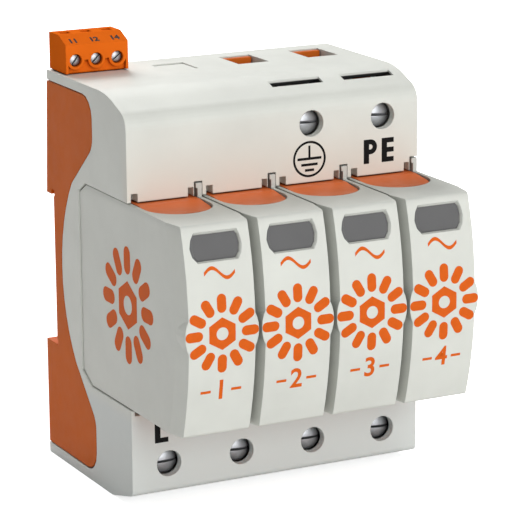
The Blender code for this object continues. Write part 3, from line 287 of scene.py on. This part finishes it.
def metal(name, colour, roughness=0.28, stretch=(40.0, 40.0, 400.0)):
    """Plated metal with faint drawing lines, wear spots, uneven sheen and painted shade in the gaps."""
    made = Maker(name)
    lines = made.noise(60.0, 3.0, 0.6, stretch)
    spots = made.noise(500.0, 3.0, 0.7)
    tone = made.tint(made.spread(spots, 0.0, 1.0), scaled(colour, 0.8), colour)
    # Painted shade: the tone darkens to a quarter in gaps and under edges
    made.link(made.tint(made.nook(0.002), tone, scaled(colour, 0.25)), made.shader.inputs["Base Color"])
    made.link(made.spread(lines, roughness - 0.08, roughness + 0.12), made.shader.inputs["Roughness"])
    made.shader.inputs["Metallic"].default_value = 1.0
    made.relief([(lines, 0.000006), (spots, 0.000008)], 0.00012)
    return made.material


def ink(name, colour):
    """Pad-printed ink: almost even, a little thin in places."""
    made = Maker(name)
    patch = made.noise(900.0, 3.0, 0.6)
    tone = made.tint(made.spread(patch, 0.0, 1.0), colour, scaled(colour, 1.10))
    made.link(tone, made.shader.inputs["Base Color"])
    made.link(made.spread(patch, 0.50, 0.62), made.shader.inputs["Roughness"])
    made.shader.inputs["Specular IOR Level"].default_value = 0.15
    made.relief([(made.noise(2600.0, 2.0, 0.6), 0.00001)], 0)
    return made.material


# Painted light in these greys and oranges: shade in the gaps, on the module tops and in the slits, orange
# bounce near the pads and its offset lower down
GREY_SHELL = plastic("module_grey", GREY, edge=0.0002, nook=0.0024, gap_shade_factor=0.5, top=0.85)
GREY_BASE = plastic(
    "base_grey", GREY_BASE_TONE, painted_bounce=GREY_PAINTED_BOUNCE, bounce_offset=GREY_BOUNCE_OFFSET, nook=0.0009, gap_shade_factor=0.4, slits=True
)
ORANGE_FOOT = plastic("foot_orange", ORANGE, 0.5, specular=0.08)
ORANGE_CARRIER = plastic("pad_orange", ORANGE_PAD, 0.42, 0.06, specular=0.2, nook=0.0015)
ORANGE_PLUG = plastic("plug_orange", ORANGE_BRIGHT, 0.6, 0.03, 0.000006, 0.0002, specular=0.0, nook=0.001)
WINDOW = plastic("window_grey", WINDOW_GREY, 0.35, 0.05, 0.000004, 0.0001, specular=0.2)
FLAG = plastic("flag_red", FLAG_RED, 0.4, 0.05, 0.000008, 0.0001)
MOULD_BLACK = plastic("switch_black", BLACK, 0.45, 0.1, 0.00001, 0.0001)
COATING = plastic("block_coating", BLUE, 0.3, 0.12, 0.00004, 0.0003)
LACQUER = plastic("board_lacquer", BOARD, 0.25, 0.15, 0.000006, 0.0001)
STEEL_SCREW = metal("screw_steel", STEEL, 0.42)
STEEL_CAGE = metal("cage_steel", STEEL, 0.36, (400.0, 40.0, 40.0))
TINNED = metal("tinned_copper", TIN, 0.34)
PRINT_ORANGE = ink("print_orange", INK_ORANGE)
PRINT_BLACK = ink("print_black", INK_BLACK)

FINISHES = {
    "base_housing": GREY_BASE,
    "rear_foot": ORANGE_FOOT,
    "rail_latch": STEEL_CAGE,
    "latch_spring": STEEL_SCREW,
    "terminal_screw": STEEL_SCREW,
    "terminal_cage": STEEL_CAGE,
    "lower_contact": TINNED,
    "earth_busbar": TINNED,
    "signal_rocker": MOULD_BLACK,
    "signal_switch": MOULD_BLACK,
    "signal_header": MOULD_BLACK,
    "signal_board": LACQUER,
    "signal_plug": ORANGE_PLUG,
    "plug_screw": STEEL_SCREW,
    "plug_clamp": TINNED,
    "shell": GREY_SHELL,
    "carrier": ORANGE_CARRIER,
    "window": WINDOW,
    "block": COATING,
    "flag": FLAG,
    "upper_blade": TINNED,
    "lower_blade": TINNED,
}


def finish_of(name):
    stem, _, number = name.rpartition("_")
    return FINISHES[stem if number.isdigit() else name]


for name, node in nodes.items():
    node.data.materials.clear()
    node.data.materials.append(finish_of(name))


# Printed marks, cut as flat outlines and laid on the surface under them


def surface(name):
    """The rest shape of a CAD node, to find where a mark lies."""
    mesh = nodes[name].data
    return BVHTree.FromPolygons([v.co.copy() for v in mesh.vertices], [p.vertices[:] for p in mesh.polygons])


def outline_mesh(shapes):
    """A flat mesh from shapes given as lists of (u, v) points."""
    shape = bmesh.new()
    for points in shapes:
        shape.faces.new([shape.verts.new((u, v, 0.0)) for u, v in points])
    bmesh.ops.triangulate(shape, faces=shape.faces[:])
    return shape


def text_mesh(words, height, thicken=0.0):
    """Plain lettering with its middle at (0, 0)."""
    curve = bpy.data.curves.new("letters", "FONT")
    curve.body = words
    curve.size = height / 0.7
    curve.offset = thicken
    curve.align_x = "CENTER"
    curve.align_y = "CENTER"
    curve.resolution_u = 6
    holder = bpy.data.objects.new("letters", curve)
    bpy.context.scene.collection.objects.link(holder)
    mesh = bpy.data.meshes.new_from_object(holder.evaluated_get(bpy.context.evaluated_depsgraph_get()))
    shape = bmesh.new()
    shape.from_mesh(mesh)
    bpy.data.objects.remove(holder)
    bpy.data.meshes.remove(mesh)
    return shape


def add_piece(name, shape, material, body):
    """Makes the shape an object that rides on a CAD body."""
    mesh = bpy.data.meshes.new(name)
    shape.to_mesh(mesh)
    shape.free()
    mesh.materials.append(material)
    made = bpy.data.objects.new(name, mesh)
    bpy.context.scene.collection.objects.link(made)
    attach(made, body)
    return made


def lay(name, shape, frame_matrix, tree, material, body, step=0.0006, lift=0.00002):
    """Slices the flat shape finely, then sets each point just off the surface that it faces with its -Z."""
    lows = [v.co.y for v in shape.verts]
    level = min(lows) + step
    while level < max(lows):
        geometry = shape.verts[:] + shape.edges[:] + shape.faces[:]
        bmesh.ops.bisect_plane(shape, geom=geometry, plane_co=(0, level, 0), plane_no=(0, 1, 0))
        level += step
    towards = -(frame_matrix.to_3x3() @ Vector((0, 0, 1)))
    beside = []
    for vertex in shape.verts:
        start = frame_matrix @ vertex.co
        hit = tree.ray_cast(start, towards)[0]
        if hit is None:
            beside.append(vertex)
        else:
            vertex.co = hit - towards * lift
    bmesh.ops.delete(shape, geom=beside, context="VERTS")
    bmesh.ops.recalc_face_normals(shape, faces=shape.faces[:])
    return add_piece(name, shape, material, body)


def bar(u, v, width, height):
    return [
        (u - width / 2, v - height / 2),
        (u + width / 2, v - height / 2),
        (u + width / 2, v + height / 2),
        (u - width / 2, v + height / 2),
    ]


def round_point(radius, angle, centre=(0.0, 0.0)):
    return centre[0] + radius * math.cos(angle), centre[1] + radius * math.sin(angle)


def arc_band(outer, inner, steps, start=0.0, sweep=2 * math.pi, centre=(0.0, 0.0)):
    """The band between two radii, as quads."""
    shapes = []
    for step in range(steps):
        a = start + sweep * step / steps
        b = start + sweep * (step + 1) / steps
        shapes.append(
            [
                round_point(outer, a, centre),
                round_point(outer, b, centre),
                round_point(inner, b, centre),
                round_point(inner, a, centre),
            ]
        )
    return shapes


def ray_bars(count, inner, outer, width):
    """Bars with round ends, set like the marks of a dial."""
    shapes = []
    half = width / 2
    for index in range(count):
        turn = 2 * math.pi * index / count
        points = []
        for middle, start in ((outer - half, -math.pi / 2), (inner + half, math.pi / 2)):
            for step in range(9):
                angle = start + math.pi * step / 8
                points.append((middle + half * math.cos(angle), half * math.sin(angle)))
        rotated = []
        for u, v in points:
            rotated.append((u * math.cos(turn) - v * math.sin(turn), u * math.sin(turn) + v * math.cos(turn)))
        shapes.append(rotated)
    return shapes


def hexagon_ring(outer, hole, steps=36):
    """A hexagon with a round hole, as quads."""
    shapes = []

    def edge(angle):
        sector = (angle + math.pi / 6) % (math.pi / 3) - math.pi / 6
        reach = outer * math.cos(math.pi / 6) / math.cos(sector)
        return reach * math.cos(angle), reach * math.sin(angle)

    for step in range(steps):
        a = 2 * math.pi * step / steps
        b = 2 * math.pi * (step + 1) / steps
        shapes.append([edge(a), edge(b), round_point(hole, b), round_point(hole, a)])
    return shapes


def dial(radius):
    """A plain device: twelve bars round a hexagon."""
    bars = ray_bars(12, 0.52 * radius, 0.99 * radius, 0.25 * radius)
    return bars + hexagon_ring(0.41 * radius, 0.16 * radius)


def wave(width, height, stroke, steps=24):
    """The sign for alternating current."""
    shapes = []
    points = []
    half = stroke / 2
    for step in range(steps + 1):
        u = width * (step / steps - 0.5)
        points.append((u, height / 2 * math.sin(-2 * math.pi * u / width)))
    for (u0, v0), (u1, v1) in zip(points, points[1:]):
        shapes.append([(u0, v0 - half), (u1, v1 - half), (u1, v1 + half), (u0, v0 + half)])
    return shapes


def facing_front(x, z):
    """Frame of a mark on a front face: u to the right, v up, seen from -Y."""
    return Matrix(((1, 0, 0, x), (0, 0, -1, -0.09), (0, 1, 0, z), (0, 0, 0, 1)))


def facing_side(side, x, y, z):
    """Frame of a mark on a side face, upright, seen from outside."""
    return Matrix(((0, 0, side, x), (side, 0, 0, y), (0, 1, 0, z), (0, 0, 0, 1)))


DISC_RADIUS = 0.0087
DISC_Z = 0.0004
SIDE_DISC = 0.0134
SIDE_DISC_Y = -0.0397
SIDE_DISC_Z = 0.00085
NUMBER_Z = -0.0123
NUMBER_HEIGHT = 0.0043
DASH_OUT = 0.0036
DASH = (0.0024, 0.0006)
WAVE_Z = 0.0134
WAVE = (0.0072, 0.0023, 0.0008)
UNSLICED = 0.02

# A thin skin on each side of a module, over the faces that lie on each other beside the disc: its y and z
SIDE_SKIN = (
    (-0.06355, 0.00445),
    (-0.06856, 0.00445),
    (-0.06856, 0.0041),
    (-0.06626, 0.00305),
    (-0.06355, 0.0043),
)

for index in MODULES:
    low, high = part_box(f"shell_{index}")
    middle = (low.x + high.x) / 2
    shell = surface(f"shell_{index}")
    body = f"module_{index}"
    for word, marks, z in (
        ("disc", outline_mesh(dial(DISC_RADIUS)), DISC_Z),
        ("wave", outline_mesh(wave(*WAVE)), WAVE_Z),
        ("number", text_mesh(str(index), NUMBER_HEIGHT, 0.00012), NUMBER_Z),
        ("dash", outline_mesh([bar(-DASH_OUT, 0.0, *DASH), bar(DASH_OUT, 0.0, *DASH)]), NUMBER_Z),
    ):
        lay(f"{word}_print_{index}", marks, facing_front(middle, z), shell, PRINT_ORANGE, body)
    for side, x, word in ((-1, low.x - 0.01, "left"), (1, high.x + 0.01, "right")):
        marks = outline_mesh(dial(SIDE_DISC))
        side_frame = facing_side(side, x, SIDE_DISC_Y, SIDE_DISC_Z)
        lay(f"{word}_print_{index}", marks, side_frame, shell, PRINT_ORANGE, body, UNSLICED)
        skin = outline_mesh([[(side * y, z) for y, z in SIDE_SKIN]])
        lay(f"{word}_skin_{index}", skin, facing_side(side, x, 0.0, 0.0), shell, GREY_SHELL, body, UNSLICED)

# The earth sign and the letters of the terminals
EARTH_RADIUS = 0.0041
EARTH_LINE = 0.00052
EARTH_BAR = 0.00058
LETTER_HEIGHT = 0.0055
LETTER_STROKE = 0.00138
THIN_STROKE = 0.82

housing = surface("base_housing")
earth_shapes = arc_band(EARTH_RADIUS, EARTH_RADIUS - EARTH_LINE, 48) + [
    bar(0.0, 0.00165, EARTH_LINE, 0.0028),
    bar(0.0, 0.0001, 0.0060, EARTH_BAR),
    bar(0.0, -0.00125, 0.0041, EARTH_BAR),
    bar(0.0, -0.0025, 0.0023, EARTH_BAR),
]
earth_frame = facing_front(0.00845, 0.0291)
lay("earth_print", outline_mesh(earth_shapes), earth_frame, housing, PRINT_BLACK, "base", UNSLICED)


def letter_p(width, height, stroke):
    """A bold P from its stem and a half-round bowl."""
    shapes = [bar(stroke / 2, height / 2, stroke, height)]
    outer = height * 0.31
    centre = (width - outer, height - outer)
    thin = stroke * THIN_STROKE
    shapes += arc_band(outer, outer - thin, 12, -math.pi / 2, math.pi, centre)
    reach = centre[0] - stroke
    for v in (height - thin / 2, height - 2 * outer + thin / 2):
        shapes.append(bar(stroke + reach / 2, v, reach, thin))
    return shapes


def letter_e(width, height, stroke):
    thin = stroke * THIN_STROKE
    shapes = [bar(stroke / 2, height / 2, stroke, height)]
    for v in (thin / 2, height / 2, height - thin / 2):
        shapes.append(bar(stroke + (width - stroke) / 2, v, width - stroke, thin))
    return shapes


def letter_l(width, height, stroke):
    thin = stroke * THIN_STROKE
    foot = bar(stroke + (width - stroke) / 2, thin / 2, width - stroke, thin)
    return [bar(stroke / 2, height / 2, stroke, height), foot]


for name, shapes, x, z in (
    ("p_print", letter_p(0.0034, LETTER_HEIGHT, LETTER_STROKE), 0.0222, 0.0265),
    ("e_print", letter_e(0.0031, LETTER_HEIGHT, LETTER_STROKE), 0.0268, 0.0265),
    ("l_print", letter_l(0.00328, LETTER_HEIGHT, LETTER_STROKE), -0.0304, -0.0311),
):
    lay(name, outline_mesh(shapes), facing_front(x, z), housing, PRINT_BLACK, "base", UNSLICED)

# Contact numbers on the sloping top of the plug
plug = surface("signal_plug")
plug_low, plug_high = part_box("signal_plug")
across = Vector((1.0, 0.0, 0.0))
slope = Vector((0.0, 0.0041, 0.0018)).normalized()
outward = across.cross(slope)
for index in range(1, 4):
    low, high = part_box(f"plug_screw_{index}")
    middle = Vector(((low.x + high.x) / 2, plug_low.y + 0.0014, plug_high.z - 0.0012)) + outward * 0.004
    slope_turn = Matrix((across, slope, outward)).transposed().to_4x4()
    digits = text_mesh(("11", "12", "14")[index - 1], 0.0016, 0.00011)
    slope_frame = Matrix.Translation(middle) @ slope_turn
    lay(f"contact_print_{index}", digits, slope_frame, plug, PRINT_BLACK, "plug", UNSLICED)


# Screws with a domed, rounded head in place of the plain ones


RIM = 0.06


def turned_screw(name, node, body, sizes, turn):
    """A slotted screw turned about Y, in place of a CAD screw.

    Its sizes are the sink under the plain head, the head's radius, dome and length, the shank's radius, and
    the slot's width and depth. The rounded rim takes a share of the radius.
    """
    sink, radius, dome, length, shank, width, depth = sizes
    low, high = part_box(node)
    centre = Vector(((low.x + high.x) / 2, 0.0, (low.z + high.z) / 2))
    front = low.y + sink
    profile = []
    for step in range(1, 9):
        share = step / 8
        profile.append((radius * (1 - RIM) * share, front + dome * share**2))
    for step in range(1, 4):
        angle = math.pi / 2 * step / 3
        reach = radius * (1 - RIM + RIM * math.sin(angle))
        profile.append((reach, front + dome + radius * RIM * (1 - math.cos(angle))))
    profile += [(radius, front + length), (shank, front + length + 0.0001), (shank, high.y)]
    shape = bmesh.new()
    steps = 48
    rows = []
    for reach, y in profile:
        points = [round_point(reach, 2 * math.pi * k / steps) for k in range(steps)]
        rows.append([shape.verts.new((x, y, z)) for x, z in points])
    tip = shape.verts.new((0.0, front, 0.0))
    for k in range(steps):
        after = (k + 1) % steps
        shape.faces.new((tip, rows[0][k], rows[0][after]))
        for near, far in zip(rows, rows[1:]):
            shape.faces.new((near[k], far[k], far[after], near[after]))
    shape.faces.new(list(reversed(rows[-1])))
    wall = 0.00002
    for side in (-1, 1):
        for place in (width / 2, width / 2 - wall):
            geometry = shape.verts[:] + shape.edges[:] + shape.faces[:]
            bmesh.ops.bisect_plane(shape, geom=geometry, plane_co=(0, 0, side * place), plane_no=(0, 0, 1))
    floor = front + depth
    for vertex in shape.verts:
        if abs(vertex.co.z) < width / 2 - wall / 2 and vertex.co.y < floor:
            vertex.co.y = floor
    bmesh.ops.rotate(shape, verts=shape.verts[:], cent=(0, 0, 0), matrix=Matrix.Rotation(turn, 3, "Y"))
    bmesh.ops.translate(shape, verts=shape.verts[:], vec=centre)
    bmesh.ops.recalc_face_normals(shape, faces=shape.faces[:])
    made = add_piece(name, shape, STEEL_SCREW, body)
    made.data.shade_smooth()
    made.data.set_sharp_from_angle(angle=math.radians(32))
    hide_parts(node)
    return made


TERMINAL_SCREW = (-0.0005, 0.0029, 0.0006, 0.0026, 0.0023, 0.0006, 0.0014)
TERMINAL_TURNS = (0.02, 0.05, -0.04, 0.03, 0.0, 0.04)
PLUG_SCREW = (0.0003, 0.00125, 0.0002, 0.0008, 0.0009, 0.0004, 0.0007)
PLUG_TURNS = (-0.9, -0.75, -0.65)
for index, turn in enumerate(TERMINAL_TURNS, 1):
    turned_screw(f"screw_dress_{index}", f"terminal_screw_{index}", f"screw_{index}", TERMINAL_SCREW, turn)
for index, turn in enumerate(PLUG_TURNS, 1):
    turned_screw(f"plug_screw_dress_{index}", f"plug_screw_{index}", f"plug_screw_{index}", PLUG_SCREW, turn)


# Trim of the status windows: a seal in the gap round the pane, a bevelled lip round it that is widest above
# and to the right, and a dark strip laid on the shell at the left edge as painted shade

WINDOW_GAP = 0.0003
ANYWHERE = (Vector((-1, -1, -1)), Vector((1, 1, 1)))


def solid_ring(name, loops, material, body):
    """A closed ring through loops of points, from the outer front one round to itself."""
    shape = bmesh.new()
    rows = [[shape.verts.new(point) for point in loop] for loop in loops]
    for near, far in zip(rows, rows[1:] + rows[:1]):
        for step in range(len(near)):
            after = (step + 1) % len(near)
            shape.faces.new((near[step], near[after], far[after], far[step]))
    bmesh.ops.recalc_face_normals(shape, faces=shape.faces[:])
    return add_piece(name, shape, material, body)


def window_edge(low, high, top, right, rest):
    """Points round the hole for a window, drawn in by a width of its own at each side."""
    middle = (low.x + high.x) / 2
    half = (high.x - low.x) / 2 + WINDOW_GAP
    bottom_z = low.z - WINDOW_GAP
    top_z = high.z + WINDOW_GAP
    centre_z = (bottom_z + top_z) / 2
    sides = ((-0.0011, bottom_z), (-0.0003, centre_z - 0.0018), (0.0, centre_z), (-0.0003, centre_z + 0.0018))
    points = []
    for less, z in sides + ((-0.0008, top_z),):
        points.append([middle + half + less - right, z])
    for less, z in ((-0.0008, top_z),) + tuple(reversed(sides)):
        points.append([middle - half - less + rest, z])
    for index in (0, 9):
        points[index][1] += rest
    for index in (4, 5):
        points[index][1] -= top
    fine = []
    for near, far in zip(points, points[1:] + points[:1]):
        for step in range(4):
            share = step / 4
            fine.append((near[0] + (far[0] - near[0]) * share, near[1] + (far[1] - near[1]) * share))
    return fine


def depth_at(tree, points, low, high):
    """Depths of a surface under points seen from the front, each drawn into a box first."""
    depths = []
    for x, z in points:
        place = (min(max(x, low.x), high.x), -0.09, min(max(z, low.z), high.z))
        depths.append(tree.ray_cast(place, (0, 1, 0))[0].y)
    return depths


for index in MODULES:
    body = f"module_{index}"
    low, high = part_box(f"window_{index}")
    middle = (low.x + high.x) / 2
    pane = surface(f"window_{index}")
    shell = surface(f"shell_{index}")
    inside = (low + Vector((0.0001, 0, 0.0001)), high - Vector((0.0001, 0, 0.0001)))
    outer = window_edge(low, high, 0.00003, 0.00003, 0.00003)
    inner = window_edge(low, high, 0.00027, 0.00027, 0.00027)
    loops = []
    for points, back in ((outer, -0.00004), (inner, -0.00004), (inner, 0.0007), (outer, 0.0007)):
        depths = depth_at(pane, [(middle, z) for x, z in points], *inside)
        loops.append([(x, y + back, z) for (x, z), y in zip(points, depths)])
    solid_ring(f"window_seal_{index}", loops, WINDOW, body)
    lip = window_edge(low, high, 0.00065, 0.0003, 0.0001)
    wide = window_edge(low, high, -0.0002, -0.0002, -0.0002)
    around = depth_at(shell, wide, *ANYWHERE)
    floor = depth_at(pane, [(middle, z) for x, z in outer], *inside)
    lip_floor = depth_at(pane, [(middle, z) for x, z in lip], *inside)
    loops = [
        [(x, y + 0.00002, z) for (x, z), y in zip(outer, around)],
        [(x, y - 0.00006, z) for (x, z), y in zip(lip, lip_floor)],
        [(x, y - 0.00005, z) for (x, z), y in zip(outer, floor)],
    ]
    solid_ring(f"window_lip_{index}", loops, GREY_SHELL, body)
    # Painted shade: a dark strip on the shell along the left edge of the window, widest at its middle
    left = window_edge(low, high, -0.00001, -0.00001, -0.00001)[20:37]
    outs = [0.00002 + 0.0005 * math.sin(math.pi * step / 16) for step in range(17)]
    strips = []
    for (x0, z0), out0, (x1, z1), out1 in zip(left, outs, left[1:], outs[1:]):
        strips.append([(x0, z0), (x1, z1), (x1 - out1, z1), (x0 - out0, z0)])
    lay(f"window_edge_{index}", outline_mesh(strips), facing_front(0.0, 0.0), shell, WINDOW, body)


# Stage, light and camera


def add_floor():
    """A pale floor that reads white to the camera and keeps the shadow."""
    shape = bmesh.new()
    reach = 3.0
    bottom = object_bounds()[0].z
    corners = [(-reach, -reach), (reach, -reach), (reach, reach), (-reach, reach)]
    shape.faces.new([shape.verts.new((x, y, bottom)) for x, y in corners])
    mesh = bpy.data.meshes.new("floor")
    shape.to_mesh(mesh)
    shape.free()
    floor = bpy.data.objects.new("floor", mesh)
    bpy.context.scene.collection.objects.link(floor)
    material = bpy.data.materials.new("floor_white")
    material.use_nodes = True
    tree = material.node_tree
    shader = tree.nodes["Principled BSDF"]
    shader.inputs["Base Color"].default_value = (0.86, 0.86, 0.86, 1.0)
    shader.inputs["Roughness"].default_value = 0.9
    shader.inputs["Specular IOR Level"].default_value = 0.0
    shader.inputs["Emission Color"].default_value = (1.0, 1.0, 1.0, 1.0)
    seen = tree.nodes.new("ShaderNodeLightPath").outputs["Is Camera Ray"]
    glow = tree.nodes.new("ShaderNodeMath")
    glow.operation = "MULTIPLY"
    glow.inputs[1].default_value = 0.68
    tree.links.new(seen, glow.inputs[0])
    tree.links.new(glow.outputs[0], shader.inputs["Emission Strength"])
    mesh.materials.append(material)


def add_light(name, size, power, azimuth, elevation, distance):
    """A soft square lamp aimed at the object. Azimuth 0 is in front, and 90 is to the right."""
    lamp = bpy.data.lights.new(name, "AREA")
    lamp.size = size
    lamp.energy = power
    holder = bpy.data.objects.new(name, lamp)
    bpy.context.scene.collection.objects.link(holder)
    a = math.radians(azimuth)
    e = math.radians(elevation)
    away = Vector((math.sin(a) * math.cos(e), -math.cos(a) * math.cos(e), math.sin(e)))
    holder.location = CAMERA_TARGET + away * distance
    holder.rotation_mode = "QUATERNION"
    holder.rotation_quaternion = away.to_track_quat("Z", "Y")


def add_world(level):
    """Even light of that level, and white where the camera sees it."""
    world = bpy.data.worlds.new("studio")
    world.use_nodes = True
    tree = world.node_tree
    background = tree.nodes["Background"]
    background.inputs["Color"].default_value = (1.0, 1.0, 1.0, 1.0)
    path = tree.nodes.new("ShaderNodeLightPath")
    strength = tree.nodes.new("ShaderNodeMapRange")
    strength.inputs["To Min"].default_value = level
    strength.inputs["To Max"].default_value = 1.0
    tree.links.new(path.outputs["Is Camera Ray"], strength.inputs["Value"])
    tree.links.new(strength.outputs["Result"], background.inputs["Strength"])
    bpy.context.scene.world = world


def add_camera():
    a = math.radians(CAMERA_AZIMUTH)
    e = math.radians(CAMERA_ELEVATION)
    back = Vector((-math.sin(a) * math.cos(e), -math.cos(a) * math.cos(e), math.sin(e)))
    level_right = Vector((math.cos(a), -math.sin(a), 0.0))
    level_up = back.cross(level_right)
    roll = math.radians(CAMERA_ROLL)
    right = level_right * math.cos(roll) + level_up * math.sin(roll)
    up = back.cross(right)
    lens = bpy.data.cameras.new("camera")
    lens.lens = CAMERA_LENS
    lens.sensor_width = 36.0
    lens.clip_start = 0.01
    lens.clip_end = 20.0
    camera = bpy.data.objects.new("camera", lens)
    bpy.context.scene.collection.objects.link(camera)
    turn = Matrix((right, up, back)).transposed().to_4x4()
    camera.matrix_world = Matrix.Translation(CAMERA_TARGET + back * CAMERA_DISTANCE) @ turn
    bpy.context.scene.camera = camera


add_floor()
for lamp in (
    # Name, size in metres, power in watts, azimuth, elevation and distance
    ("key", 1.0, 14.2, -1.0, 11.0, 1.5),
    ("upper", 0.7, 1.5, 10.0, 48.0, 0.9),
    ("overhead", 0.6, 0.9, 0.0, 70.0, 0.9),
    ("rear", 0.5, 5.6, 180.0, 33.0, 0.9),
    ("rear_high", 0.5, 2.6, 165.0, 50.0, 0.9),
):
    add_light(*lamp)
add_world(0.13)
add_camera()
bpy.context.scene.view_settings.view_transform = "Standard"
